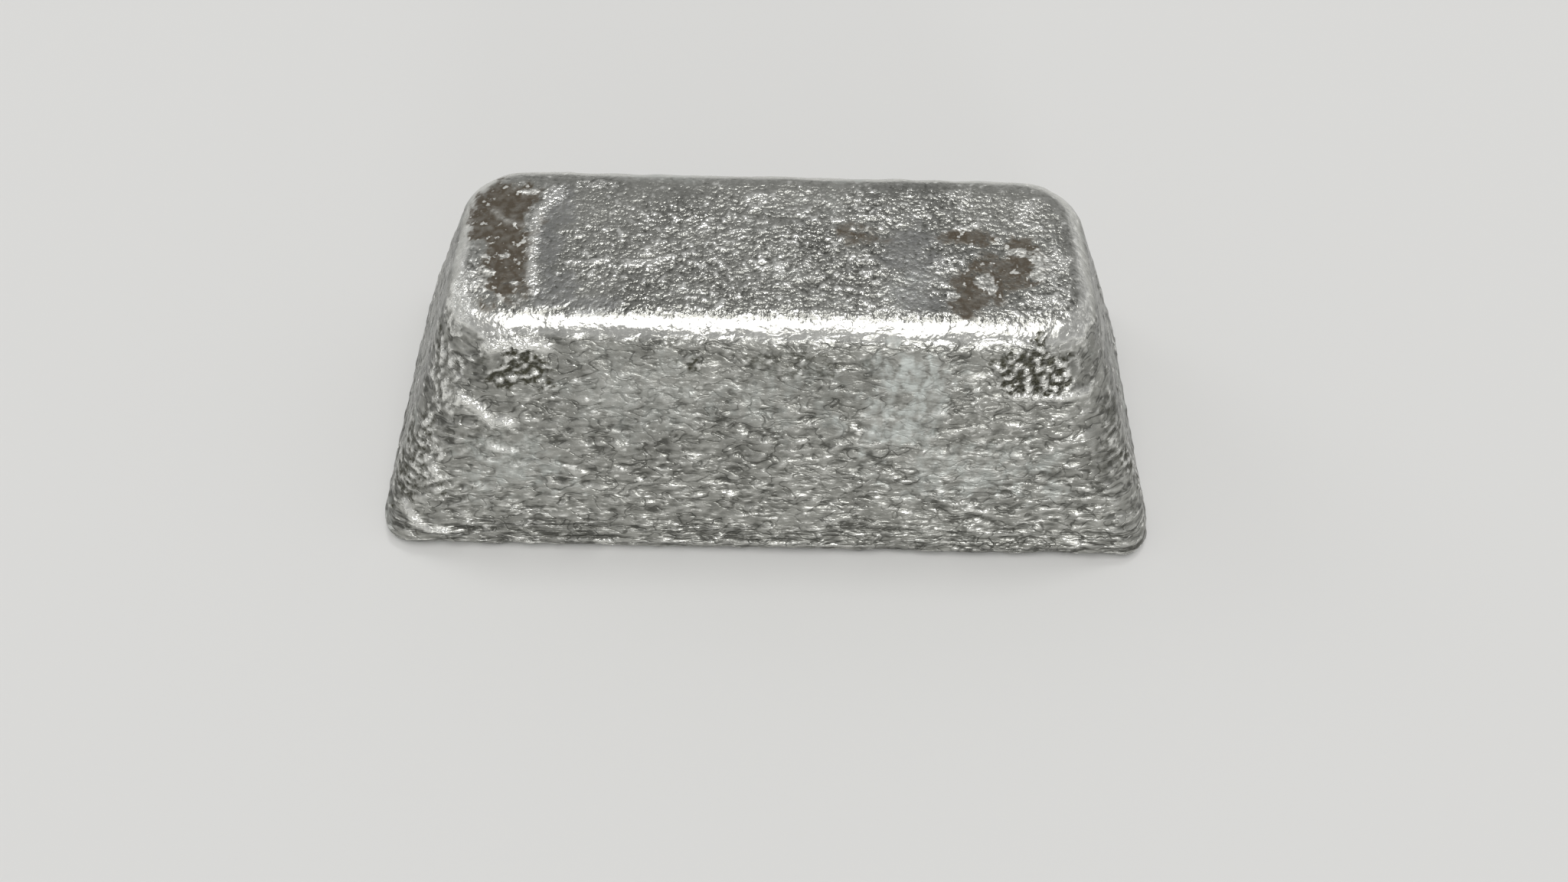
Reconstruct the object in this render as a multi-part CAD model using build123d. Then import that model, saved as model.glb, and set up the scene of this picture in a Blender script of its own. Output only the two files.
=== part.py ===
from build123d import *
import os

os.makedirs("parts", exist_ok=True)

# A small lead ingot from an open mould, lying with its poured side down. Sizes in mm.

# Mould cavity as sharp-edged outlines: at the poured side, and at the mould floor, now the top
poured_length = 98.0
poured_width = 45.0
floor_length = 73.0
floor_width = 25.8
height = 32.5

# Upright corners of the cavity, seen from above, at the same two levels
poured_corner = 4.0
floor_corner = 7.5

# Round between the walls and the mould floor
floor_round = 3.7

# Rim of the poured side, drawn in by the surface tension of the melt
rim_round = 1.8

# Shallow hollow that shrinkage leaves in the poured side, inside a flat rim
rim_land = 6.5
hollow_depth = 1.2
hollow_slope = 8.0
hollow_corner = 12.0
hollow_blend = 15.0


def outline(length, width, corner, level):
    """A flat rounded rectangle at one level, centred on the ingot's middle."""
    return (Pos(0, 0, level) * RectangleRounded(length, width, corner)).face()


def drafted_block(lower, upper):
    """Joins two outlines by flat drafted walls and, at the corners, ruled rounds that change radius."""
    sides = []
    for low, high in zip(lower.outer_wire().edges(), upper.outer_wire().edges()):
        if low.geom_type == GeomType.LINE:
            sides.append(Face(Wire.make_polygon([low @ 0, low @ 1, high @ 1, high @ 0])))
        else:
            sides.append(Face.make_surface_from_curves(low, high))
    return Solid(Shell([lower, upper] + sides))


def bottom_face(shape):
    """The lowest level face, which the ingot lies on."""
    return shape.faces().sort_by(Axis.Z)[0]


# The casting as the mould gives it
cavity = drafted_block(
    outline(poured_length, poured_width, poured_corner, 0),
    outline(floor_length, floor_width, floor_corner, height),
)
casting = fillet(cavity.faces().sort_by(Axis.Z)[-1].edges(), floor_round)
casting = fillet(bottom_face(casting).edges(), rim_round)

# The shrinkage hollow, a shallow dish inside the rim
hollow_length = poured_length - 2 * rim_land
hollow_width = poured_width - 2 * rim_land
hollow = drafted_block(
    outline(hollow_length, hollow_width, hollow_corner, 0),
    outline(
        hollow_length - 2 * hollow_slope,
        hollow_width - 2 * hollow_slope,
        hollow_corner - hollow_slope,
        hollow_depth,
    ),
)
ingot = casting - hollow

# Both edges of the dish melt into their neighbours
dish_floor = ingot.faces().filter_by(Plane.XY).sort_by(Axis.Z)[1]
ingot = fillet(dish_floor.edges(), hollow_blend)
ingot = fillet(bottom_face(ingot).inner_wires()[0].edges(), hollow_blend)

export_step(ingot, "parts/ingot.step")
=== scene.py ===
"""A small lead ingot from an open mould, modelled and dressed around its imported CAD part.

The casting is shaped in millimetres and brought to metres once its skin is finished.
"""

import logging
import math
from collections.abc import Sequence
from dataclasses import dataclass
from enum import Enum

import bmesh
import bpy
from mathutils import Matrix, Vector, noise
from mathutils.kdtree import KDTree


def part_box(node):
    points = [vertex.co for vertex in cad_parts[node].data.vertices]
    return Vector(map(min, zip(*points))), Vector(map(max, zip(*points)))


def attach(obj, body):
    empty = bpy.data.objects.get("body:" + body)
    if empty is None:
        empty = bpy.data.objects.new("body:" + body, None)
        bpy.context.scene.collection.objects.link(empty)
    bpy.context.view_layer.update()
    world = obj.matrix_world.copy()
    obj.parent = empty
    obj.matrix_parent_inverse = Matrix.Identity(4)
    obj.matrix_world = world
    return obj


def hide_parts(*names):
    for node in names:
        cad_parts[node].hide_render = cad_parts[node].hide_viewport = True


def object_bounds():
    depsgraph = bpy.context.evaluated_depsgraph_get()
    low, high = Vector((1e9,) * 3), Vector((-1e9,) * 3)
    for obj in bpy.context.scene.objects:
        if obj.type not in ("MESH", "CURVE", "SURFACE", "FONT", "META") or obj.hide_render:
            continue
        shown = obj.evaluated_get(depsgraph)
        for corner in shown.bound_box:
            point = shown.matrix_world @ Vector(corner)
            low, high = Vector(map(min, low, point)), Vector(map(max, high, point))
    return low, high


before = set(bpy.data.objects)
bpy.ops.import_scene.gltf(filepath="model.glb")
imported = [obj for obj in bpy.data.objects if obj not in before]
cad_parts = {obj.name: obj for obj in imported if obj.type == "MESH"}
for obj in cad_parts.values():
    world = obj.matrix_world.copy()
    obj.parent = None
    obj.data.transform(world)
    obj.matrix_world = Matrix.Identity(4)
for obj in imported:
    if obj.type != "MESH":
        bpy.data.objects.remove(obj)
CAD_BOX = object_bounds()

LOG = logging.getLogger("ingot")

MM = 0.001

Point = tuple[float, float, float]
Colour = tuple[float, float, float]
Span = tuple[float, float]


def ease(low: float, high: float, value: float) -> float:
    """Says how far a value has come from low to high, eased at both ends.

    Args:
        low: Value at which the answer is 0.
        high: Value at which the answer is 1. It may be under low.
        value: Value to place between them.

    Returns:
        A share from 0 to 1.
    """
    share = min(1.0, max(0.0, (value - low) / (high - low)))
    return share * share * (3.0 - 2.0 * share)


class Value:
    """One output of a shader node, which Python's operators work on."""

    def __init__(self, sheet: "NodeSheet", socket: bpy.types.NodeSocket) -> None:
        """Wraps one output socket of the sheet's node tree."""
        self.sheet = sheet
        self.socket = socket

    def __add__(self, other: "Value | float") -> "Value":
        """Adds."""
        return self.sheet.maths("ADD", self, other)

    __radd__ = __add__

    def __mul__(self, other: "Value | float") -> "Value":
        """Multiplies."""
        return self.sheet.maths("MULTIPLY", self, other)

    __rmul__ = __mul__

    def __sub__(self, other: "Value | float") -> "Value":
        """Subtracts."""
        return self.sheet.maths("SUBTRACT", self, other)

    def __rsub__(self, other: "Value | float") -> "Value":
        """Subtracts this value from a number."""
        return self.sheet.maths("SUBTRACT", other, self)

    def __abs__(self) -> "Value":
        """Drops the sign."""
        return self.sheet.maths("ABSOLUTE", self)

    def eased(self, low: float, high: float) -> "Value":
        """Maps the value from low to high onto 0 to 1, eased at both ends.

        Args:
            low: Value that becomes 0.
            high: Value that becomes 1. It may be under low.

        Returns:
            The eased share.
        """
        if low > high:
            return 1.0 - self.eased(high, low)
        settings = {"interpolation_type": "SMOOTHSTEP"}
        sockets = {"Value": self, "From Min": low, "From Max": high}
        return Value(self.sheet, self.sheet.node("ShaderNodeMapRange", settings, sockets).outputs[0])

    def within(self, low: float, high: float) -> "Value":
        """Holds the value between two limits.

        Args:
            low: Lower limit.
            high: Upper limit.

        Returns:
            The held value.
        """
        return self.sheet.maths("MINIMUM", self.sheet.maths("MAXIMUM", self, low), high)


class NodeSheet:
    """The node tree of one material or world."""

    def __init__(self, owner: bpy.types.Material | bpy.types.World) -> None:
        """Empties the owner's node tree.

        Args:
            owner: The material or world.
        """
        owner.use_nodes = True
        self.tree = owner.node_tree
        self.tree.nodes.clear()

    def node(
        self,
        kind: str,
        settings: dict[str, object],
        sockets: dict[str | int, object],
    ) -> bpy.types.Node:
        """Adds a node, sets it up, and then fills its sockets.

        Args:
            kind: The node's type name.
            settings: The node's own settings by name, which are made first.
            sockets: A number, colour, vector, Value or output socket for each input, which is
                given by its name or identifier or by its place in the list.

        Returns:
            The new node.
        """
        made = self.tree.nodes.new(kind)
        for name, setting in settings.items():
            setattr(made, name, setting)
        for key, content in sockets.items():
            if isinstance(key, int):
                entry = made.inputs[key]
            else:
                entry = next(s for s in made.inputs if key in (s.identifier, s.name) and s.enabled)
            if isinstance(content, Value):
                self.tree.links.new(content.socket, entry)
            elif isinstance(content, bpy.types.NodeSocket):
                self.tree.links.new(content, entry)
            else:
                entry.default_value = content
        return made

    def maths(self, operation: str, *parts: Value | float) -> Value:
        """Adds a Math node.

        Args:
            operation: The Math node's operation.
            parts: Its inputs, in order.

        Returns:
            The result.
        """
        made = self.node("ShaderNodeMath", {"operation": operation}, dict(enumerate(parts)))
        return Value(self, made.outputs[0])

    def coordinates(self, kind: str) -> Value:
        """Gives texture coordinates: Object ones in metres, or Generated ones."""
        return Value(self, self.node("ShaderNodeTexCoord", {}, {}).outputs[kind])

    def upward(self, vector: Value) -> Value:
        """Gives the upward part of a vector."""
        return Value(self, self.node("ShaderNodeSeparateXYZ", {}, {0: vector}).outputs["Z"])

    def stretched(self, vector: Value, factors: Point) -> Value:
        """Multiplies a vector part by part.

        Args:
            vector: The vector.
            factors: A factor for each of its three parts.

        Returns:
            The stretched vector.
        """
        sockets = {0: vector, 1: factors}
        made = self.node("ShaderNodeVectorMath", {"operation": "MULTIPLY"}, sockets)
        return Value(self, made.outputs[0])

    def grain(self, vector: Value, spacing: float, detail: float = 2.0, twist: float = 0.0) -> Value:
        """Gives soft noise around 0.

        Args:
            vector: Where it is read, in metres.
            spacing: Millimetres from one lump to the next.
            detail: Octaves of finer noise on top.
            twist: How far it is distorted.

        Returns:
            The noise, mostly from -0.35 to 0.35.
        """
        sockets = {"Vector": vector, "Scale": 1.0 / (spacing * MM), "Detail": detail, "Distortion": twist}
        return Value(self, self.node("ShaderNodeTexNoise", {}, sockets).outputs[0]) - 0.5

    def share(self, kept: Enum) -> Value:
        """Reads a share that the piece keeps at each vertex."""
        settings = {"attribute_type": "GEOMETRY", "attribute_name": kept.value}
        return Value(self, self.node("ShaderNodeAttribute", settings, {}).outputs["Fac"])

    def toned(self, under: Value | Colour, over: Value | Colour, share: Value | float) -> Value:
        """Lays one colour over another.

        Args:
            under: The colour where share is 0.
            over: The colour where share is 1.
            share: How much of over shows.

        Returns:
            The mixed colour.
        """
        sockets = {"Factor_Float": share, "A_Color": self.paint(under), "B_Color": self.paint(over)}
        mixed = self.node("ShaderNodeMix", {"data_type": "RGBA"}, sockets)
        return Value(self, next(s for s in mixed.outputs if s.identifier == "Result_Color"))

    @staticmethod
    def paint(colour: Value | Colour) -> Value | tuple[float, float, float, float]:
        """Gives a written colour its alpha, and leaves a linked one."""
        return colour if isinstance(colour, Value) else (*colour, 1.0)

    def bumped(self, height: Value) -> Value:
        """Turns a height in millimetres into a normal."""
        sockets = {"Strength": 1.0, "Distance": MM, "Height": height}
        return Value(self, self.node("ShaderNodeBump", {}, sockets).outputs[0])

    def surface(self, sockets: dict[str | int, object]) -> None:
        """Ends the sheet in a Principled surface with these sockets."""
        shader = self.node("ShaderNodeBsdfPrincipled", {}, sockets)
        self.node("ShaderNodeOutputMaterial", {}, {"Surface": shader.outputs[0]})


ASKEW = Matrix.Rotation(0.7, 3, Vector((0.62, 0.53, 0.58)))


def grains(place: Vector, spacing: float) -> float:
    """Gives soft noise whose lattice lies askew to the casting's faces.

    Args:
        place: Where it is read, in millimetres.
        spacing: Millimetres from one lump to the next.

    Returns:
        The noise, mostly from -0.5 to 0.5.
    """
    return noise.noise(ASKEW @ place / spacing)


@dataclass(frozen=True)
class Lumps:
    """Soft lumps of one size in the skin.

    Attributes:
        spacing: Distance from one lump to the next, in millimetres.
        height: What their noise is multiplied by, in millimetres.
    """

    spacing: float
    height: float

    def at(self, place: Vector) -> float:
        """Gives their height in one place, in millimetres."""
        return self.height * grains(place, self.spacing)


class Tone(Enum):
    """What a patch of the casting's skin is like. Each vertex keeps its share of each."""

    BROWN = "brown"
    SMOOTH = "smooth"
    HAZE = "haze"
    PITTED = "pitted"
    CRUST = "crust"


class Mark(Enum):
    """What else each vertex of the skin keeps a share of."""

    TOP_SIDE = "top_side"
    POURED = "poured"
    END_WALL = "end_wall"
    EDGE = "edge"
    FOLDED = "folded"
    BUSY = "busy"
    HOLLOW = "hollow"
    # Share of proud skin, lighter as wear and as painted highlight.
    WORN = "wear_and_highlight"


Shares = dict[Tone | Mark, float]


@dataclass(frozen=True)
class Patch:
    """A part of the skin that has a tone.

    Attributes:
        centre: Its middle, in millimetres.
        reach: How far it goes along x, y and z, in millimetres.
        ragged: How far its edge wanders, as a share of its reach.
        strength: How strong its tone is at the middle.
    """

    centre: Point
    reach: Point
    ragged: float = 0.55
    strength: float = 1.0

    def share(self, place: Vector) -> float:
        """Says how much of the patch a place is in.

        Args:
            place: The place, in millimetres.

        Returns:
            0 outside, up to the patch's strength inside.
        """
        parts = place - Vector(self.centre)
        away = Vector(part / far for part, far in zip(parts, self.reach))
        farthest = 1.3 + 1.2 * self.ragged
        if away.length > farthest:
            return 0.0
        wander = grains(place, 2.6) + 0.7 * grains(place, 0.9)
        return self.strength * ease(1.25, 0.65, away.length + self.ragged * wander)


@dataclass(frozen=True)
class Fold:
    """A raised line in the skin.

    Attributes:
        path: Points that it runs through, in millimetres, near the skin.
        height: How far it stands out, in millimetres.
        width: Half of its width, in millimetres.
        broken: How far its height comes and goes along the line, from 0 to 1.
    """

    path: Sequence[Point]
    height: float
    width: float
    broken: float = 0.3

    def spots(self, tree: KDTree) -> list[Vector]:
        """Lays closely spaced spots along the fold's line.

        Args:
            tree: The skin's vertices, on which the points of its path are brought.

        Returns:
            The spots, in millimetres.
        """
        step = 0.2
        points = [tree.find(Vector(point))[0] for point in self.path]
        spots = []
        for start, end in zip(points, points[1:]):
            count = max(1, round((end - start).length / step))
            spots += [start.lerp(end, index / count) for index in range(count + 1)]
        return spots

    def lift_skin(self, tree: KDTree, heights: dict[int, float]) -> None:
        """Lifts the skin along the fold, where nothing lifts it further.

        Args:
            tree: The skin's vertices.
            heights: How far each vertex is lifted, which gains the fold's own.
        """
        farthest = 2.2 * self.width
        for spot in self.spots(tree):
            ebb = 1.0 - self.broken * (0.5 + 1.2 * noise.noise(spot / 0.8))
            for _, vertex, away in tree.find_range(spot, farthest):
                lift = self.height * ebb * math.exp(-((away / self.width) ** 2))
                if abs(lift) > abs(heights.get(vertex, 0.0)):
                    heights[vertex] = lift


def ring(centre: Point, radius: float, points: int = 14) -> list[Point]:
    """Lays points round a level circle.

    Args:
        centre: Its middle, in millimetres.
        radius: Its radius, in millimetres.
        points: How many points.

    Returns:
        The points, with the first one again at the end.
    """
    x, y, level = centre
    turns = [2.0 * math.pi * step / points for step in range(points + 1)]
    return [(x + radius * math.cos(turn), y + radius * math.sin(turn), level) for turn in turns]


TOP = float(CAD_BOX[1][2]) / MM

PATCHES = {
    Tone.BROWN: (
        Patch((-32.3, 4.2, TOP), (4.3, 5.6, 3.0)),
        Patch((-30.6, -4.6, TOP), (3.2, 5.6, 3.0)),
        Patch((10.6, 1.5, TOP), (2.6, 1.8, 3.0), 0.8, 0.8),
        Patch((22.6, 1.9, TOP), (3.2, 1.6, 3.0)),
        Patch((29.2, -1.2, TOP), (2.6, 3.2, 3.0)),
        Patch((26.0, -4.6, TOP), (5.2, 3.4, 3.0), 0.7),
        Patch((21.9, -8.3, TOP), (2.1, 2.6, 3.0)),
    ),
    Tone.SMOOTH: (
        Patch((-25.3, 5.0, TOP), (1.8, 3.4, 3.0)),
        Patch((-26.0, -1.0, TOP), (1.5, 4.2, 3.0)),
        Patch((-24.4, -7.6, TOP), (2.3, 3.0, 3.0)),
        Patch((-20.0, -10.2, TOP), (3.8, 1.4, 3.0)),
        Patch((15.9, -1.2, TOP), (3.6, 5.0, 3.0), 0.8),
        Patch((16.6, -8.0, TOP), (2.8, 2.6, 3.0), 0.8),
    ),
    Tone.CRUST: (
        # On and beside the stains of the upper face
        Patch((-33.9, -6.8, TOP), (2.0, 2.4, 3.0)),
        Patch((-29.4, 7.9, TOP), (1.1, 0.5, 3.0), 1.0, 0.9),
        Patch((-30.7, -2.8, TOP), (0.8, 0.6, 3.0), 1.0, 0.9),
        Patch((-29.5, -6.8, TOP), (0.7, 0.6, 3.0), 1.0, 0.8),
        Patch((-26.1, 7.4, TOP), (1.2, 1.4, 3.0), 0.8),
        Patch((-21.4, 9.6, TOP), (2.2, 0.9, 3.0), 0.8, 0.7),
        Patch((9.6, 7.8, TOP), (4.6, 1.9, 3.0), 1.0, 0.5),
        Patch((21.4, 9.0, TOP), (5.2, 0.9, 3.0), 0.8, 0.6),
        Patch((30.4, 6.2, TOP), (1.4, 2.9, 3.0), 1.0, 0.9),
        Patch((22.3, 3.5, TOP), (1.8, 0.8, 3.0), 0.9),
        Patch((20.0, -2.3, TOP), (1.5, 1.7, 3.0), 1.0, 0.9),
        Patch((24.5, -5.0, TOP), (1.1, 2.1, 3.0), 0.9),
        Patch((27.8, -0.4, TOP), (1.4, 0.7, 3.0), 0.9),
        Patch((32.0, -2.4, TOP), (1.8, 3.5, 3.0), 1.0),
        Patch((30.2, -7.8, TOP), (3.6, 1.3, 3.0), 1.0, 0.9),
        Patch((20.2, -7.4, TOP), (0.9, 0.8, 3.0), 0.8),
        # Down the front corners, under the front edge and at the foot
        Patch((-35.4, -8.6, 30.6), (2.2, 4.4, 2.6), 0.8, 0.9),
        Patch((-37.6, -14.6, 24.0), (3.0, 3.6, 6.0), 0.9, 0.8),
        Patch((-40.4, -17.6, 13.0), (2.4, 3.4, 6.0), 0.9, 0.7),
        Patch((-30.5, -14.4, 30.0), (5.0, 2.5, 1.6), 0.9, 0.8),
        Patch((-31.0, -22.0, 1.6), (1.3, 2.0, 1.4), 0.8, 0.9),
        Patch((-20.3, -22.0, 1.6), (1.3, 2.0, 1.4), 0.8, 0.9),
        Patch((30.0, -14.8, 25.6), (5.4, 3.0, 3.0), 0.9, 0.7),
        Patch((34.5, -10.0, 31.0), (2.4, 3.4, 2.4), 0.8, 0.6),
    ),
    Tone.PITTED: (
        # Two dark ones under the front edge come first, then fainter ones
        Patch((-28.6, -14.7, 26.6), (3.6, 4.0, 3.2), 0.75),
        Patch((29.5, -14.4, 27.6), (4.0, 4.0, 3.7), 0.75),
        Patch((-33.0, -17.4, 16.6), (4.0, 4.0, 3.4), 1.1, 0.35),
        Patch((24.0, -16.6, 19.5), (6.0, 4.0, 3.2), 1.2, 0.35),
        Patch((-8.6, -14.4, 27.3), (0.9, 2.0, 0.8), 0.5, 0.9),
        Patch((-43.0, -16.5, 11.0), (4.6, 5.0, 9.0), 1.1, 0.6),
        Patch((-38.0, -14.0, 24.0), (3.0, 5.0, 5.0), 1.1, 0.45),
        Patch((41.0, -15.0, 18.0), (3.4, 5.0, 8.0), 1.1, 0.4),
        Patch((2.0, -14.2, 28.0), (9.0, 3.0, 1.6), 1.2, 0.45),
    ),
    Tone.HAZE: (
        Patch((-16.0, -15.8, 23.4), (8.2, 5.0, 5.8), 1.0, 0.24),
        Patch((15.9, -14.5, 26.4), (5.4, 5.0, 4.0), 0.7, 1.0),
        Patch((14.5, -16.4, 20.6), (4.4, 5.0, 4.4), 0.9, 0.9),
        Patch((0.0, -15.4, 24.0), (9.0, 5.0, 3.6), 1.2, 0.3),
        Patch((-31.0, -18.6, 12.5), (6.0, 4.0, 4.0), 1.2, 0.5),
        Patch((26.0, -18.4, 13.0), (8.0, 4.0, 4.0), 1.2, 0.5),
    ),
}

FOLDS = (
    # The ridge along the left stain, the line across it, two scratch lines and a small ring
    Fold(
        ((-25.9, 7.8, TOP), (-27.6, 4.4, TOP), (-27.9, 0.2, TOP), (-27.9, -3.0, TOP), (-26.9, -8.0, TOP)),
        0.22,
        0.5,
        0.8,
    ),
    Fold(((-33.3, 4.8, TOP), (-31.4, 3.2, TOP), (-29.3, 2.1, TOP)), 0.10, 0.35, 0.5),
    Fold(((-23.8, -3.7, TOP), (-18.6, -3.0, TOP)), 0.16, 0.3, 0.7),
    Fold(((-16.9, -3.5, TOP), (-14.0, -3.2, TOP), (-11.7, -2.4, TOP)), 0.2, 0.32, 0.3),
    Fold(ring((-2.3, 7.4, TOP), 1.0), 0.10, 0.35, 0.3),
    # The left front corner from top to foot
    Fold(((-31.6, -13.7, 29.3), (-28.6, -14.0, 29.6), (-25.4, -14.0, 29.2)), 0.34, 0.7, 0.6),
    Fold(((-36.0, -15.8, 22.6), (-34.0, -16.1, 21.5), (-32.4, -16.8, 19.1)), 0.42, 0.5, 0.3),
    Fold(((-32.2, -16.8, 19.4), (-30.4, -16.8, 19.0)), 0.32, 0.7, 0.6),
    Fold(((-32.8, -17.8, 15.8), (-30.4, -18.0, 15.3)), 0.28, 0.4, 0.3),
    Fold(
        ((-45.0, -20.4, 7.2), (-43.4, -21.2, 4.6), (-41.7, -21.5, 3.6), (-39.8, -21.6, 3.2)), 0.32, 0.45, 0.4
    ),
    # The long fold under the right pitted spot, and a small ring beside the haze
    Fold(((28.0, -15.3, 24.4), (33.1, -15.4, 24.2), (37.1, -15.1, 24.9)), 0.4, 0.42, 0.3),
    Fold(ring((19.6, -16.1, 21.8), 0.7), 0.2, 0.32, 0.2),
)


def set_down(name: str, shape: bmesh.types.BMesh) -> bpy.types.Object:
    """Puts a finished shape into the scene at the origin.

    Args:
        name: What it is called.
        shape: The shape, which is used up.

    Returns:
        The object.
    """
    mesh = bpy.data.meshes.new(name)
    shape.to_mesh(mesh)
    shape.free()
    placed = bpy.data.objects.new(name, mesh)
    bpy.context.scene.collection.objects.link(placed)
    return placed


@dataclass(frozen=True)
class Outline:
    """A rounded rectangle, seen from above.

    Attributes:
        length: Its size along x, in millimetres.
        width: Its size along y, in millimetres.
        corner: Radius of its corners, in millimetres.
        level: Its height over the table, in millimetres.
    """

    length: float
    width: float
    corner: float
    level: float

    def draw(self, shape: bmesh.types.BMesh, steps: int) -> list[bmesh.types.BMEdge]:
        """Draws the outline as one face.

        Args:
            shape: The mesh that it is drawn in.
            steps: Straight pieces in each corner.

        Returns:
            The edges round the face.
        """
        corners = bmesh.ops.create_grid(shape, x_segments=1, y_segments=1, size=0.5)["verts"]
        bmesh.ops.scale(shape, vec=(self.length, self.width, 1.0), verts=corners)
        bmesh.ops.translate(shape, vec=(0.0, 0.0, self.level), verts=corners)
        bent = bmesh.ops.bevel(
            shape,
            geom=corners,
            offset=self.corner,
            offset_type="OFFSET",
            segments=steps,
            profile=0.5,
            affect="VERTICES",
            material=-1,
        )
        face = next(f for f in shape.faces if f in set(bent["verts"][0].link_faces))
        return list(face.edges)


@dataclass(frozen=True)
class CastSkin:
    """The relief of the casting's skin, and what the skin is like from place to place.

    Attributes:
        swell: Slow rise and fall of the whole skin.
        roll: Gentle dents in the whole skin.
        peel: Fine grain of the upper face.
        pimples: Coarser grain of the upper face.
        lumps: Lumps of the walls.
        warp: How far the walls' laps wander up and down.
        shiver: How far they tremble on the way.
        sand: Fine grain of the poured side.
        dents: Dents of the handled upper edge.
        crust: Lumps of the crusts and the pitted spots.
    """

    swell: Lumps = Lumps(13.0, 0.16)
    roll: Lumps = Lumps(5.0, 0.12)
    peel: Lumps = Lumps(0.85, 0.13)
    pimples: Lumps = Lumps(1.7, 0.08)
    lumps: Lumps = Lumps(2.4, 0.12)
    warp: Lumps = Lumps(6.0, 0.9)
    shiver: Lumps = Lumps(2.0, 0.35)
    sand: Lumps = Lumps(1.2, 0.07)
    dents: Lumps = Lumps(3.1, 0.15)
    crust: Lumps = Lumps(0.85, 0.22)

    @staticmethod
    def busy(place: Vector) -> float:
        """Says how lively the grain of the upper face is, most so near its middle."""
        middle = math.exp(-(((place.x - 3.0) / 15.0) ** 2) - ((place.y + 3.5) / 7.0) ** 2)
        return 0.62 + 0.5 * middle - 0.35 * ease(5.5, 9.5, place.y)

    def walls(self, place: Vector) -> float:
        """Works out the laps, the drawn grain and the lumps of a wall, and its foot's layers.

        Args:
            place: The place, in millimetres.

        Returns:
            The relief, in millimetres.
        """
        x, y, z = place
        low = ease(27.0, 15.0, z)
        warp = self.warp.at(place) + self.shiver.at(place)
        lap_length, lap_rise = 4.2, 1.5
        lap = 1.0 - 2.2 * abs(noise.noise(Vector((x / lap_length, y / lap_length, z / lap_rise + warp))))
        drawn = grains(Vector((x, y, 1.7 * z + warp)), 1.45)
        relief = (0.03 + 0.08 * low) * lap + (0.09 + 0.06 * low) * drawn
        relief += self.lumps.at(place + Vector((5.0, 0.0, 0.0)))
        foot = ease(5.4, 3.8, z)
        if foot > 0.0:
            layer_length, layer_rise = 11.0, 0.8
            layer = Vector((x / layer_length, y / layer_length, z / layer_rise + 0.5 * warp))
            relief += foot * 0.24 * noise.noise(layer)
        return relief

    def poured(self, place: Vector) -> float:
        """Works out the wrinkles and the grain of the poured side.

        Args:
            place: The place, in millimetres.

        Returns:
            The relief, in millimetres.
        """
        drift = Vector((grains(place, 9.0), grains(place + Vector((0.0, 40.0, 0.0)), 9.0), 0.0))
        wrinkle = 1.0 - 2.4 * abs(grains(place + 4.0 * drift, 5.5))
        return 0.17 * wrinkle + self.sand.at(place)

    def height(self, place: Vector, shares: Shares, lift: float) -> float:
        """Works out the skin's relief in one place.

        Args:
            place: The place, in millimetres.
            shares: What the skin is like there.
            lift: How far a fold lifts it there, in millimetres.

        Returns:
            The height over the middle of the relief, in millimetres.
        """
        top = shares[Mark.TOP_SIDE]
        under = shares[Mark.POURED]
        wall = 1.0 - top - under
        handled = shares[Mark.EDGE]
        height = self.swell.at(place) + self.roll.at(place)
        if top > 0.0:
            height += top * shares[Mark.BUSY] * (self.peel.at(place) + self.pimples.at(place))
        if wall > 0.0:
            height += wall * self.walls(place)
        if under > 0.0:
            height += under * self.poured(place)
        calm = 1.0 - 0.6 * shares[Tone.SMOOTH] - 0.4 * shares[Tone.BROWN] - 0.2 * shares[Tone.HAZE]
        height *= calm * (1.0 - 0.15 * handled)
        rough = 0.9 * shares[Tone.CRUST] + 1.1 * shares[Tone.PITTED]
        height += rough * (0.05 + self.crust.at(place)) + handled * self.dents.at(place)
        return height + lift * (1.0 + 0.8 * grains(place, 0.8))

    def shares(self, place: Vector, facing: Vector, lift: float) -> Shares:
        """Works out what the skin is like in one place.

        Args:
            place: The place, in millimetres.
            facing: Which way the skin faces there.
            lift: How far a fold lifts it there, in millimetres.

        Returns:
            The shares that a vertex keeps, apart from those that need its neighbours.
        """
        crest = ease(0.97, 0.88, facing.z) * ease(0.42, 0.68, facing.z)
        return {
            **self.tones(place, facing),
            Mark.TOP_SIDE: ease(0.45, 0.9, facing.z),
            Mark.POURED: ease(0.45, 0.9, -facing.z),
            Mark.END_WALL: ease(0.5, 0.85, abs(facing.x)),
            Mark.EDGE: ease(28.6, 29.6, place.z) * crest,
            Mark.FOLDED: min(1.0, abs(lift) / 0.12),
            Mark.BUSY: self.busy(place),
        }

    @staticmethod
    def tones(place: Vector, facing: Vector) -> Shares:
        """Works out the tones of one place, with haze and pits of their own on the hidden sides.

        Args:
            place: The place, in millimetres.
            facing: Which way the skin faces there.

        Returns:
            The share of each tone.
        """
        shares = {tone: max(patch.share(place) for patch in patches) for tone, patches in PATCHES.items()}
        under = ease(0.3, 0.7, -facing.z)
        hidden = max(ease(-0.2, 0.4, facing.y), ease(0.5, 0.8, abs(facing.x)), under)
        cloud = grains(place + Vector((3.0, 8.0, 1.0)), 9.0) + 0.5 * grains(place, 2.0)
        shares[Tone.HAZE] = max(shares[Tone.HAZE], 0.6 * hidden * ease(0.05, 0.5, cloud))
        spot = grains(place + Vector((11.0, 2.0, 5.0)), 5.0) + 0.4 * grains(place, 1.1)
        pits = (hidden - 0.6 * under) * ease(29.0, 26.5, place.z) * ease(0.34, 0.62, spot)
        shares[Tone.PITTED] = max(shares[Tone.PITTED], pits)
        shares[Tone.SMOOTH] = max(shares[Tone.SMOOTH], under * ease(0.0, 0.4, -cloud))
        return shares


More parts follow.
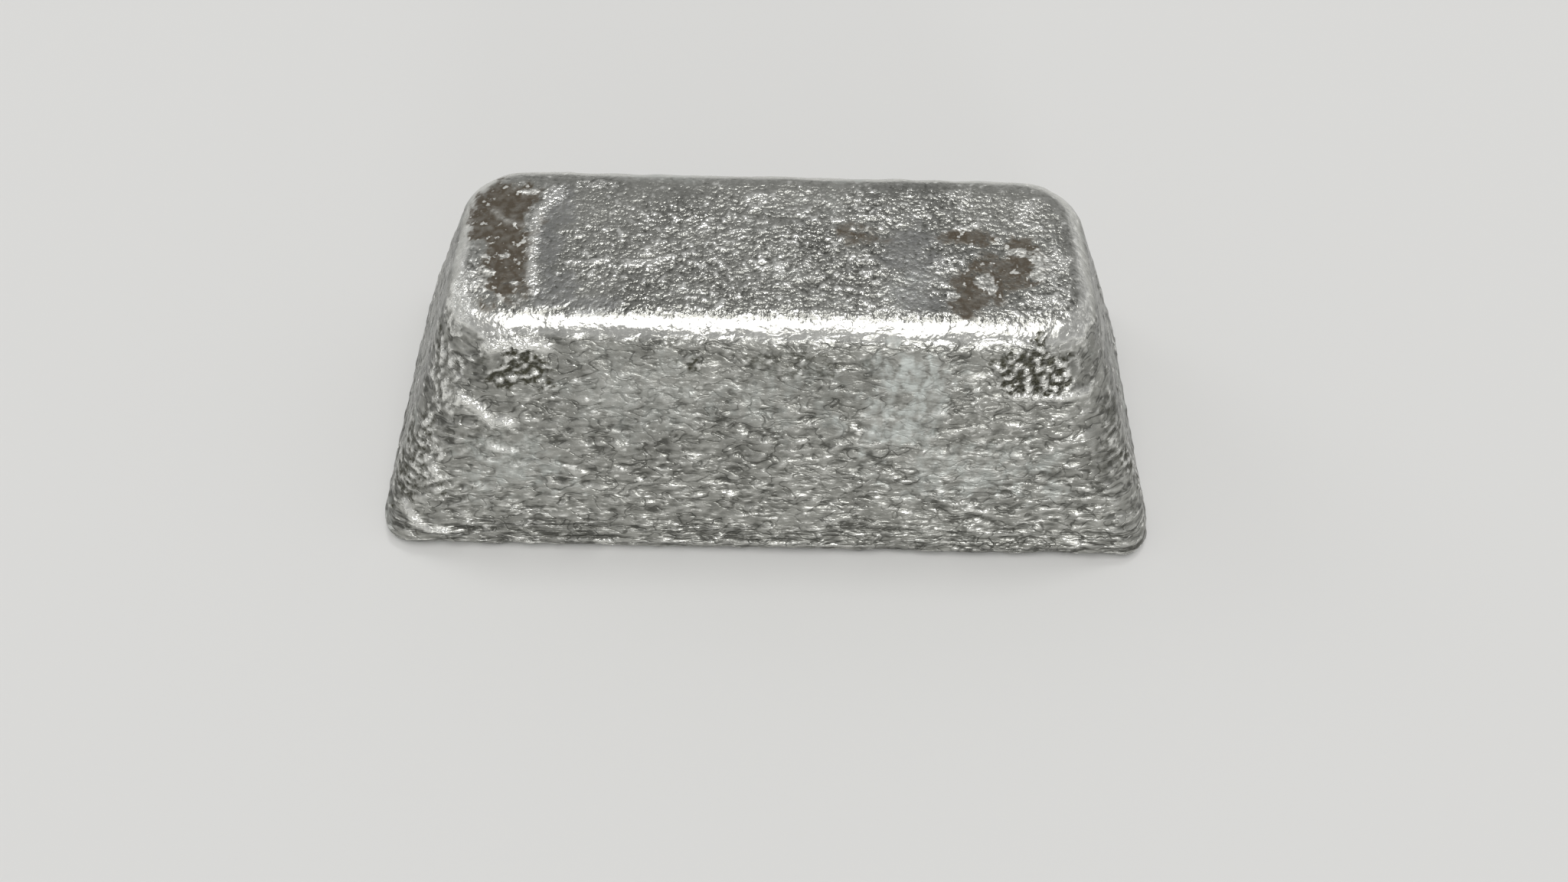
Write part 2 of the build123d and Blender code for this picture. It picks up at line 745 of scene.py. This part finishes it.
@dataclass
class IngotCasting:
    """The one cast piece: a drafted block with its rounds, its dish and its skin.

    Its sizes are in millimetres.

    Attributes:
        node: The CAD node that it stands for.
        rim_draw: How far the rim stands inside the mould's sharp corner, at an end and a side.
        floor_draw: How far the mould floor stands inside the rim, at an end and a side.
        poured_corner: Radius of the upright corners at the poured side.
        floor_corner: Radius of the upright corners at the mould floor.
        corner_steps: Straight pieces in each upright corner.
        floor_round_setback: How far the round of the upper edge starts from the sharp edge.
        rim_round_setback: How far the round of the rim starts from the sharp edge.
        round_steps: Flat pieces across each of those rounds.
        dish_inset: How far the shrinkage dish starts inside the rim.
        dish_corner: Radius of the dish's corners.
        dish_slope: Width over which the dish goes down.
        dish_depth: Depth of the shrinkage dish.
        grid: Size of the even grid that the skin is worked on.
        grid_shift: How far the block is moved off the grid's planes, as shares of the grid.
        smoothings: How often the even grid is smoothed.
        skin: The relief of the skin.
        skin_depth: How far the middle of the relief lies under the CAD part's surface.
        full_hollow: Depth against its neighbours at which a vertex counts as wholly sunk.
    """

    node: str = "ingot"
    rim_draw: tuple[float, float] = (0.82, 0.61)
    floor_draw: tuple[float, float] = (12.5, 9.6)
    poured_corner: float = 4.0
    floor_corner: float = 7.5
    corner_steps: int = 6
    floor_round_setback: float = 2.7
    rim_round_setback: float = 2.4
    round_steps: int = 8
    dish_inset: float = 4.6
    dish_corner: float = 13.0
    dish_slope: float = 10.2
    dish_depth: float = 1.2
    grid: float = 0.41
    grid_shift: Point = (0.31, 0.17, 0.23)
    smoothings: int = 2
    skin: CastSkin = CastSkin()
    skin_depth: float = 0.14
    full_hollow: float = 0.03

    def __post_init__(self) -> None:
        """Reads the CAD node's lowest and highest corner, in millimetres."""
        self.low, self.high = (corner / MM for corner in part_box(self.node))

    def block(self) -> bmesh.types.BMesh:
        """Makes the drafted block with rounded edges.

        Returns:
            The closed block, in millimetres.
        """
        low, high = self.low, self.high
        length = high.x - low.x + 2.0 * self.rim_draw[0]
        width = high.y - low.y + 2.0 * self.rim_draw[1]
        poured = Outline(length, width, self.poured_corner, 0.0)
        floor = Outline(
            length - 2.0 * self.floor_draw[0],
            width - 2.0 * self.floor_draw[1],
            self.floor_corner,
            high.z,
        )
        shape = bmesh.new()
        loops = [*poured.draw(shape, self.corner_steps), *floor.draw(shape, self.corner_steps)]
        bmesh.ops.bridge_loops(shape, edges=loops)
        bmesh.ops.recalc_face_normals(shape, faces=shape.faces)
        self.round_off(shape, high.z, self.floor_round_setback)
        self.round_off(shape, 0.0, self.rim_round_setback)
        return shape

    def round_off(self, shape: bmesh.types.BMesh, level: float, setback: float) -> None:
        """Rounds the edge round the level face at this height.

        Args:
            shape: The block.
            level: Height of the face, in millimetres.
            setback: How far from the edge the round starts, in millimetres.
        """
        near = 1e-4
        face = next(f for f in shape.faces if all(abs(v.co.z - level) < near for v in f.verts))
        bmesh.ops.bevel(
            shape,
            geom=list(face.edges),
            offset=setback,
            offset_type="OFFSET",
            segments=self.round_steps,
            profile=0.5,
            affect="EDGES",
            material=-1,
        )

    def dish(self, place: Vector) -> float:
        """Works out how deep the shrinkage dish is over one place of the poured side.

        Args:
            place: The place, in millimetres.

        Returns:
            The depth, in millimetres.
        """
        high = self.high
        straight = self.dish_inset + self.dish_corner
        past = Vector((abs(place.x) - (high.x - straight), abs(place.y) - (high.y - straight)))
        outside = Vector((max(past.x, 0.0), max(past.y, 0.0))).length
        inside = self.dish_corner - outside - min(max(past.x, past.y), 0.0)
        return self.dish_depth * ease(0.0, self.dish_slope, inside)

    def even_skin(self, shape: bmesh.types.BMesh) -> bmesh.types.BMesh:
        """Lays an even grid over the block, fine enough to carry the relief.

        Args:
            shape: The block, which is used up.

        Returns:
            The same form as an even, closed mesh.
        """
        off_grid = Vector(self.grid_shift) * self.grid
        bmesh.ops.translate(shape, vec=off_grid, verts=shape.verts)
        holder = set_down("casting_block", shape)
        mesh = holder.data
        remesh = holder.modifiers.new("even_grid", "REMESH")
        remesh.mode = "VOXEL"
        remesh.voxel_size = self.grid
        remesh.adaptivity = 0.0
        bpy.context.view_layer.update()
        evaluated = holder.evaluated_get(bpy.context.evaluated_depsgraph_get())
        result = bpy.data.meshes.new_from_object(evaluated)
        bpy.data.objects.remove(holder)
        bpy.data.meshes.remove(mesh)
        even = bmesh.new()
        even.from_mesh(result)
        bpy.data.meshes.remove(result)
        bmesh.ops.translate(even, vec=-off_grid, verts=even.verts)
        for _ in range(self.smoothings):
            bmesh.ops.smooth_vert(
                even, verts=even.verts, factor=0.5, use_axis_x=True, use_axis_y=True, use_axis_z=True
            )
        even.normal_update()
        even.verts.index_update()
        return even

    @staticmethod
    def fold_heights(shape: bmesh.types.BMesh) -> dict[int, float]:
        """Works out how far the folds lift the vertices near them.

        Args:
            shape: The even skin.

        Returns:
            The lift of each vertex that a fold moves, by its index.
        """
        tree = KDTree(len(shape.verts))
        for vertex in shape.verts:
            tree.insert(vertex.co, vertex.index)
        tree.balance()
        heights: dict[int, float] = {}
        for fold in FOLDS:
            fold.lift_skin(tree, heights)
        return heights

    def raise_skin(self, shape: bmesh.types.BMesh) -> None:
        """Works the dish, the relief and the folds into the even skin, and keeps its shares.

        Args:
            shape: The even skin, which is changed.
        """
        folds = self.fold_heights(shape)
        kept = {key: shape.verts.layers.float.new(key.value) for key in (*Tone, *Mark)}
        moved = []
        for vertex in shape.verts:
            place = vertex.co.copy()
            facing = vertex.normal.copy()
            lift = folds.get(vertex.index, 0.0)
            shares = self.skin.shares(place, facing, lift)
            for key, share in shares.items():
                vertex[kept[key]] = share
            height = self.skin.height(place, shares, lift) - self.skin_depth
            sunk = Vector((0.0, 0.0, ease(0.5, 0.9, -facing.z) * self.dish(place)))
            moved.append(place + sunk + facing * height)
        for vertex, place in zip(shape.verts, moved):
            parts = zip(place, self.low, self.high)
            vertex.co = Vector(min(max(part, low), high) for part, low, high in parts)
        shape.normal_update()

    def weigh_hollows(self, shape: bmesh.types.BMesh) -> None:
        """Keeps how sunk and how proud each vertex lies against its neighbours.

        Args:
            shape: The finished skin.
        """
        hollow = shape.verts.layers.float[Mark.HOLLOW.value]
        wear_and_highlight = shape.verts.layers.float[Mark.WORN.value]
        sunk = {}
        for vertex in shape.verts:
            around = Vector()
            for edge in vertex.link_edges:
                around += edge.other_vert(vertex).co
            around /= len(vertex.link_edges)
            sunk[vertex.index] = (around - vertex.co).dot(vertex.normal)
        for vertex in shape.verts:
            near = [sunk[edge.other_vert(vertex).index] for edge in vertex.link_edges]
            depth = 0.5 * sunk[vertex.index] + 0.5 * sum(near) / len(near)
            # The finish paints shade by the first share, and wear with painted highlight by the second.
            vertex[hollow] = ease(0.0, self.full_hollow, depth)
            vertex[wear_and_highlight] = ease(0.0, self.full_hollow, -depth)

    def build(self) -> bpy.types.Object:
        """Models the casting.

        Returns:
            The finished piece, in metres.
        """
        shape = self.even_skin(self.block())
        self.raise_skin(shape)
        self.weigh_hollows(shape)
        bmesh.ops.scale(shape, vec=(MM, MM, MM), verts=shape.verts)
        for face in shape.faces:
            face.smooth = True
        return set_down("ingot_casting", shape)

    def dress(self, piece: bpy.types.Object) -> None:
        """Gives the casting its lead finish and puts it in the frame.

        Args:
            piece: The finished casting.
        """
        piece.data.materials.append(CastLead().material())
        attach(piece, "root")
        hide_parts(self.node)


@dataclass(frozen=True)
class KeptShares:
    """The shares that the casting keeps at its vertices, under the values of Tone and Mark."""

    brown: Value
    smooth: Value
    haze: Value
    pitted: Value
    crust: Value
    top_side: Value
    poured: Value
    end_wall: Value
    edge: Value
    folded: Value
    busy: Value
    hollow: Value
    wear_and_highlight: Value


@dataclass(frozen=True)
class SkinGrain:
    """The grain that the finish adds to the casting's relief.

    Attributes:
        walls: Share of the walls.
        low_down: How low on the walls a place is, from 0 to 1.
        fine: Finest grain, on every face.
        beads: Small round beads, on every face.
        drift: Slow change from one part of the casting to the next.
        drawn: Short streaks along the walls, longer low down.
        lumps: Lumps of the walls, longer low down.
        crease: Share of the walls' creases.
        satin: Grain of the poured side.
        ripple: Share of the poured side's ripples.
        foot: Share of the walls' foot.
        layers: Level layers at the foot.
        seam: Share of the seams between those layers.
        smear: Hanging smears in the haze.
    """

    walls: Value
    low_down: Value
    fine: Value
    beads: Value
    drift: Value
    drawn: Value
    lumps: Value
    crease: Value
    satin: Value
    ripple: Value
    foot: Value
    layers: Value
    seam: Value
    smear: Value

    @classmethod
    def over(cls, sheet: NodeSheet, kept: KeptShares) -> "SkinGrain":
        """Makes the grain of every face.

        Args:
            sheet: The finish's sheet.
            kept: The shares that the piece keeps.

        Returns:
            The grain.
        """
        place = sheet.coordinates("Object")
        level = sheet.upward(place)
        flow = sheet.stretched(place, (0.55, 0.55, 1.0))
        long_flow = sheet.stretched(place, (0.28, 0.28, 1.1))
        level_flow = sheet.stretched(place, (0.09, 0.09, 1.0))
        hanging_flow = sheet.stretched(place, (1.0, 1.0, 0.4))
        walls = 1.0 - kept.top_side - kept.poured
        low_down = level.eased(20.0 * MM, 11.0 * MM)
        streaks = sheet.grain(flow, spacing=0.5)
        long_streaks = sheet.grain(long_flow, spacing=0.5)
        lumps = sheet.grain(flow, spacing=1.8, detail=3.0, twist=0.8)
        long_lumps = sheet.grain(long_flow, spacing=1.2)
        creases = abs(sheet.grain(flow, spacing=1.5, detail=1.5, twist=0.7))
        ripples = abs(sheet.grain(place, spacing=6.0, detail=1.0, twist=1.2))
        layers = sheet.grain(level_flow, spacing=0.9)
        foot = walls * level.eased(5.6 * MM, 4.6 * MM)
        return cls(
            walls=walls,
            low_down=low_down,
            fine=sheet.grain(place, spacing=0.45, detail=1.0),
            beads=sheet.grain(place, spacing=0.8, detail=0.0),
            drift=sheet.grain(place, spacing=7.0, detail=3.0),
            drawn=streaks * (0.68 - low_down * 0.2) + long_streaks * low_down * 0.8,
            lumps=lumps * (1.0 - low_down * 0.4) + long_lumps * low_down * 0.5,
            crease=walls * creases.eased(0.055, 0.0),
            satin=kept.poured * sheet.grain(place, spacing=1.6, detail=4.0, twist=0.6),
            ripple=kept.poured * ripples.eased(0.035, 0.0),
            foot=foot,
            layers=layers,
            seam=foot * abs(layers).eased(0.05, 0.0),
            smear=sheet.grain(hanging_flow, spacing=1.1, detail=3.0, twist=0.5),
        )


class LeadSkin:
    """The casting's skin as the finish sees it.

    Attributes:
        kept: The shares that the piece keeps.
        grain: The grain on it.
        stain: Share of the brown stains, broken up by the grain like the ones below.
        fleck: Share of the small bare flecks in them, which also carry a painted highlight.
        spot: Share of the dark pitted spots.
        scab: Share of the crusts.
        bare: Share of the stains that crusts, folds and flecks leave over.
    """

    def __init__(self, sheet: NodeSheet) -> None:
        """Reads the piece's shares and breaks up the edges of its stains, spots and crusts.

        Args:
            sheet: The finish's sheet.
        """
        kept = KeptShares(**{key.value: sheet.share(key) for key in (*Tone, *Mark)})
        grain = SkinGrain.over(sheet, kept)
        fine, beads, drift = grain.fine, grain.beads, grain.drift
        self.kept = kept
        self.grain = grain
        self.stain = (kept.brown * (1.0 + fine * 1.7 + beads * 0.6 + drift * 1.2)).eased(0.05, 0.95)
        # Small bare flecks in the stains, also painted as highlights.
        self.fleck = self.stain * (beads + fine * 0.6).eased(0.18, 0.31)
        self.spot = (kept.pitted * (1.0 + fine * 1.6 + grain.drawn * 1.6)).eased(0.15, 0.9)
        self.scab = (kept.crust * (1.0 + fine * 2.0)).eased(0.35, 0.8)
        self.bare = 1.0 - (self.scab * 0.85 + kept.folded * 0.5 + self.fleck * 0.9).within(0.0, 1.0)

    def height(self) -> Value:
        """Works out the relief that is too fine for the mesh.

        Returns:
            The height, in millimetres.
        """
        kept, grain = self.kept, self.grain
        top = kept.top_side * (0.35 + kept.busy * 0.6) * (grain.fine * 0.18 + grain.beads * 0.16)
        walls = grain.walls * (grain.drawn * 0.17 + grain.lumps * 0.14) - grain.crease * 0.05
        foot = grain.foot * grain.layers * 0.2 - grain.seam * 0.06
        poured = grain.satin * 0.12 - grain.ripple * 0.08
        calm = (1.0 - 0.6 * kept.smooth) * (1.0 - 0.6 * self.stain)
        calm = calm * (1.0 - 0.25 * kept.haze) * (1.0 - 0.3 * kept.edge)
        rough = (self.scab + self.spot + kept.folded * 0.4) * grain.fine * 0.2
        return (top + walls + foot + poured) * calm + rough

    def wear_and_painted_glint(self) -> Value:
        """Works out where the metal is rubbed clean and where a highlight is painted on it.

        Returns:
            The share of rubbed metal and painted highlight.
        """
        kept, grain = self.kept, self.grain
        plain = 1.0 - (self.stain + kept.smooth * 0.7 + kept.haze * 0.3).within(0.0, 1.0)
        # Proud beads and streaks: partly wear, partly painted highlight.
        top = kept.top_side * (0.4 + kept.busy * 0.6) * (grain.beads + grain.fine * 0.5)
        walls = grain.walls * (grain.drawn * 1.2 + grain.lumps * 0.4)
        # Painted highlight along the upper edge round, fainter on the end walls.
        edge = kept.edge * (0.5 - kept.end_wall * 0.4)
        # Folds, crusts, flecks and proud pits get painted highlight as well as wear.
        folds = kept.folded * (0.6 + grain.fine * 1.4)
        crusts = self.scab * (kept.wear_and_highlight * 0.7 + (grain.beads + grain.fine).eased(0.08, 0.3) * 0.6)
        marks = folds + crusts + self.fleck * 0.7 + kept.pitted * kept.wear_and_highlight * 0.65
        return ((top + walls).eased(0.09, 0.26) * plain + edge + marks).within(0.0, 1.0)


@dataclass(frozen=True)
class CastLead:
    """Dull cast lead with rubbed high spots, stains, haze and pits, with painted highlights and painted
    shade in its colour.

    Attributes:
        polish_and_highlight: Colour of metal rubbed clean, and of painted highlights and glints.
        bright: Colour of bare metal on high spots, and of painted highlight on proud relief and edge.
        dull: Colour of the skin between them.
        deep: Painted shade in wrinkles, hollows and seams, on the end walls and the foot; also dark mottle.
        brown: Colour of the burnt stains.
        smooth: Colour of the smooth bluish patches.
        haze: Colour of the pale clouds.
        pitted: Colour of the dark pitted spots.
    """

    polish_and_highlight: Colour = (0.86, 0.86, 0.82)
    bright: Colour = (0.57, 0.57, 0.54)
    dull: Colour = (0.352, 0.352, 0.326)
    deep: Colour = (0.09, 0.09, 0.08)
    brown: Colour = (0.086, 0.069, 0.048)
    smooth: Colour = (0.33, 0.335, 0.345)
    haze: Colour = (0.55, 0.58, 0.555)
    pitted: Colour = (0.052, 0.051, 0.034)

    def metal(self, sheet: NodeSheet, skin: LeadSkin) -> Value:
        """Colours the bare skin by how proud or sunk it is, with painted highlight and painted shade.

        Args:
            sheet: The finish's sheet.
            skin: The skin.

        Returns:
            The colour.
        """
        kept, grain = skin.kept, skin.grain
        top = kept.top_side * (0.45 + kept.busy * 0.5) * (grain.fine * 0.8 + grain.beads * 0.35)
        walls = grain.walls * (grain.drawn * 0.6 + grain.lumps * 0.6)
        relief = top + walls + grain.satin * 0.6 - grain.crease * 0.14 - grain.ripple * 0.12
        # Painted highlight along the upper edge round, fainter on the end walls.
        edge = kept.edge * (0.5 - kept.end_wall * 0.3)
        # Proud places lighter: partly wear, partly painted highlight.
        proud = kept.wear_and_highlight * 0.8 + relief * 2.0 + skin.scab * 0.5 + edge + kept.folded * 0.6
        # Painted shade in hollows and sunk relief, and dark random mottle.
        low = kept.hollow * 0.6 + (0.0 - relief).eased(0.0, 0.24) * 0.75 - grain.drift * 1.3
        # Painted shade on the end walls; a little darker on the upper walls, lighter on folds.
        low = low + kept.end_wall * 0.35 - kept.folded * 0.5 + grain.walls * (1.0 - grain.low_down) * 0.1
        # Painted shade in the seams of the foot, and a little over the foot.
        low = low + grain.seam * 0.55 + grain.foot * 0.08
        calm = (1.0 - 0.4 * kept.haze) * (1.0 - 0.6 * kept.edge) * (1.0 - 0.5 * skin.scab)
        colour = sheet.toned(self.dull, self.bright, proud.within(0.0, 1.0))
        return sheet.toned(colour, self.deep, low.within(0.0, 0.9) * calm)

    def material(self) -> bpy.types.Material:
        """Makes the finish.

        Returns:
            The material.
        """
        made = bpy.data.materials.new("cast_lead_skin")
        sheet = NodeSheet(made)
        skin = LeadSkin(sheet)
        kept, grain = skin.kept, skin.grain
        wear_and_painted_glint = skin.wear_and_painted_glint()
        cloud = 0.44 + grain.drift * 1.4 + grain.smear * 3.4 + grain.drawn * 2.0
        streak = (0.94 + grain.drawn * 1.2 + grain.beads * 0.4).within(0.0, 1.0)
        # Pits lighten on proud spots, where painted highlight shows through.
        pit = (0.9 + grain.fine * 1.5 - kept.wear_and_highlight * 0.9).within(0.0, 1.0)
        # Rubbed metal and painted highlights over the skin.
        colour = sheet.toned(self.metal(sheet, skin), self.polish_and_highlight, wear_and_painted_glint)
        colour = sheet.toned(colour, self.smooth, kept.smooth * (0.3 + grain.fine).within(0.0, 1.0))
        colour = sheet.toned(colour, self.haze, kept.haze * cloud.within(0.0, 0.95))
        colour = sheet.toned(colour, self.brown, skin.stain * skin.bare * streak)
        colour = sheet.toned(colour, self.pitted, skin.spot * pit)
        roughness = 0.28 + grain.drift * 0.2 + skin.stain * 0.22 + kept.haze * 0.2
        roughness = roughness + kept.hollow * 0.15 - wear_and_painted_glint * 0.08
        metallic = 1.0 - skin.stain * skin.bare * 0.5 - kept.haze * 0.35 - skin.spot * 0.3
        sheet.surface(
            {
                "Base Color": colour,
                "Metallic": metallic.within(0.0, 1.0),
                "Roughness": roughness.within(0.18, 0.8),
                "Normal": sheet.bumped(skin.height()),
            }
        )
        return made


@dataclass(frozen=True)
class PhotoCamera:
    """The camera that took the photograph.

    Attributes:
        place: Where it stands, in millimetres.
        down: How far it looks down, in degrees.
        right: How far it is turned to the right, in degrees.
        roll: How far it leans, in degrees.
        focal_pixels: Its focal length, in pixels of the photograph.
        picture_width: The photograph's width, in pixels.
        sensor_width: Width of the sensor that Blender is given, in millimetres.
        nearest: Distance from which it sees things, in metres.
    """

    place: Point = (-1.125, -112.323, 144.705)
    down: float = 53.232
    right: float = 1.67
    roll: float = 2.452
    focal_pixels: float = 1767.65
    picture_width: float = 2048.0
    sensor_width: float = 36.0
    nearest: float = 0.01

    def build(self) -> None:
        """Makes the camera and hands it to the scene."""
        down, turn, roll = (math.radians(angle) for angle in (self.down, self.right, self.roll))
        ahead = Vector(
            (math.sin(turn) * math.cos(down), math.cos(turn) * math.cos(down), -math.sin(down))
        )
        across = Vector((math.cos(turn), -math.sin(turn), 0.0))
        upward = across.cross(ahead)
        leant_across = across * math.cos(roll) + upward * math.sin(roll)
        leant_upward = upward * math.cos(roll) - across * math.sin(roll)
        lens = bpy.data.cameras.new("photo_camera")
        lens.sensor_width = self.sensor_width
        lens.lens = self.focal_pixels * self.sensor_width / self.picture_width
        lens.clip_start = self.nearest
        camera = bpy.data.objects.new("photo_camera", lens)
        bpy.context.scene.collection.objects.link(camera)
        turned = Matrix((leant_across, leant_upward, -ahead)).transposed()
        camera.matrix_world = Matrix.Translation(Vector(self.place) * MM) @ turned.to_4x4()
        bpy.context.scene.camera = camera


@dataclass(frozen=True)
class Lamp:
    """A soft round lamp, far enough away to light the whole floor evenly.

    Attributes:
        name: What it is called.
        towards: Direction from the ingot to the lamp.
        spread: How wide it looks from the ingot, in degrees.
        light: Light that falls on a surface that faces it, in watts per square metre.
        colour: Its colour.
    """

    name: str
    towards: Point
    spread: float
    light: float
    colour: Colour = (1.0, 1.0, 1.0)

    def build(self) -> None:
        """Hangs the lamp."""
        lamp = bpy.data.lights.new(self.name, "SUN")
        lamp.angle = math.radians(self.spread)
        lamp.energy = self.light
        lamp.color = self.colour
        hung = bpy.data.objects.new(self.name, lamp)
        hung.location = self.towards
        hung.rotation_euler = Vector(self.towards).to_track_quat("Z", "Y").to_euler()
        bpy.context.scene.collection.objects.link(hung)


LAMPS = (
    Lamp("key_lamp", towards=(0.0, -0.30, 0.954), spread=50.0, light=1.24, colour=(1.0, 0.99, 0.97)),
    Lamp("back_lamp", towards=(0.07, 0.37, 0.92), spread=10.0, light=0.36),
    Lamp("front_lamp", towards=(0.16, -0.97, 0.16), spread=14.0, light=0.4),
    Lamp("side_lamp", towards=(-0.75, 0.35, 0.55), spread=24.0, light=0.16, colour=(0.97, 0.98, 1.0)),
)


@dataclass
class Studio:
    """A pale floor, soft lamps and a pale room.

    Attributes:
        floor_size: Half of the floor's side, in metres.
        floor_level: Height of the floor, a hair under the rim that rests on it, in metres.
        floor_colour: Colour of the floor.
        room_light: Strength of the light that comes from overhead.
        horizon_light: Strength of the light that comes from the horizon.
        dimming: Sines of the two heights over the horizon between which the room gets dimmer.
    """

    floor_size: float = 12.0
    floor_level: float = -0.00003
    floor_colour: Colour = (0.72, 0.72, 0.71)
    room_light: float = 0.42
    horizon_light: float = 0.69
    dimming: Span = (0.02, 0.5)

    def lay_floor(self) -> bpy.types.Object:
        """Lays the floor under the ingot.

        Returns:
            The floor.
        """
        shape = bmesh.new()
        bmesh.ops.create_grid(shape, x_segments=2, y_segments=2, size=self.floor_size)
        bmesh.ops.translate(shape, vec=(0.0, 0.0, self.floor_level), verts=shape.verts)
        floor = set_down("floor", shape)
        made = bpy.data.materials.new("pale_floor")
        sheet = NodeSheet(made)
        paint = {"Base Color": sheet.paint(self.floor_colour), "Roughness": 0.85, "Specular IOR Level": 0.2}
        sheet.surface(paint)
        floor.data.materials.append(made)
        return floor

    def light_room(self) -> None:
        """Lights the room from all round, as pale as the floor at the horizon and dimmer overhead."""
        world = bpy.data.worlds.new("pale_room")
        sheet = NodeSheet(world)
        overhead = sheet.upward(sheet.coordinates("Generated")).eased(*self.dimming)
        strength = self.horizon_light + overhead * (self.room_light - self.horizon_light)
        white = (1.0, 1.0, 1.0, 1.0)
        room = sheet.node("ShaderNodeBackground", {}, {"Color": white, "Strength": strength})
        sheet.node("ShaderNodeOutputWorld", {}, {"Surface": room.outputs[0]})
        bpy.context.scene.world = world

    def build(self) -> None:
        """Sets up the floor, the room and the lamps."""
        self.lay_floor()
        self.light_room()
        for lamp in LAMPS:
            lamp.build()
        bpy.context.scene.view_settings.view_transform = "Standard"


def main() -> None:
    """Builds the studio, the camera and the casting."""
    logging.basicConfig(level=logging.INFO, format="%(name)s: %(message)s")
    Studio().build()
    PhotoCamera().build()
    casting = IngotCasting()
    piece = casting.build()
    casting.dress(piece)
    piece.data.calc_loop_triangles()
    LOG.info("%s: %d triangles", piece.name, len(piece.data.loop_triangles))


if __name__ == "__main__":
    main()
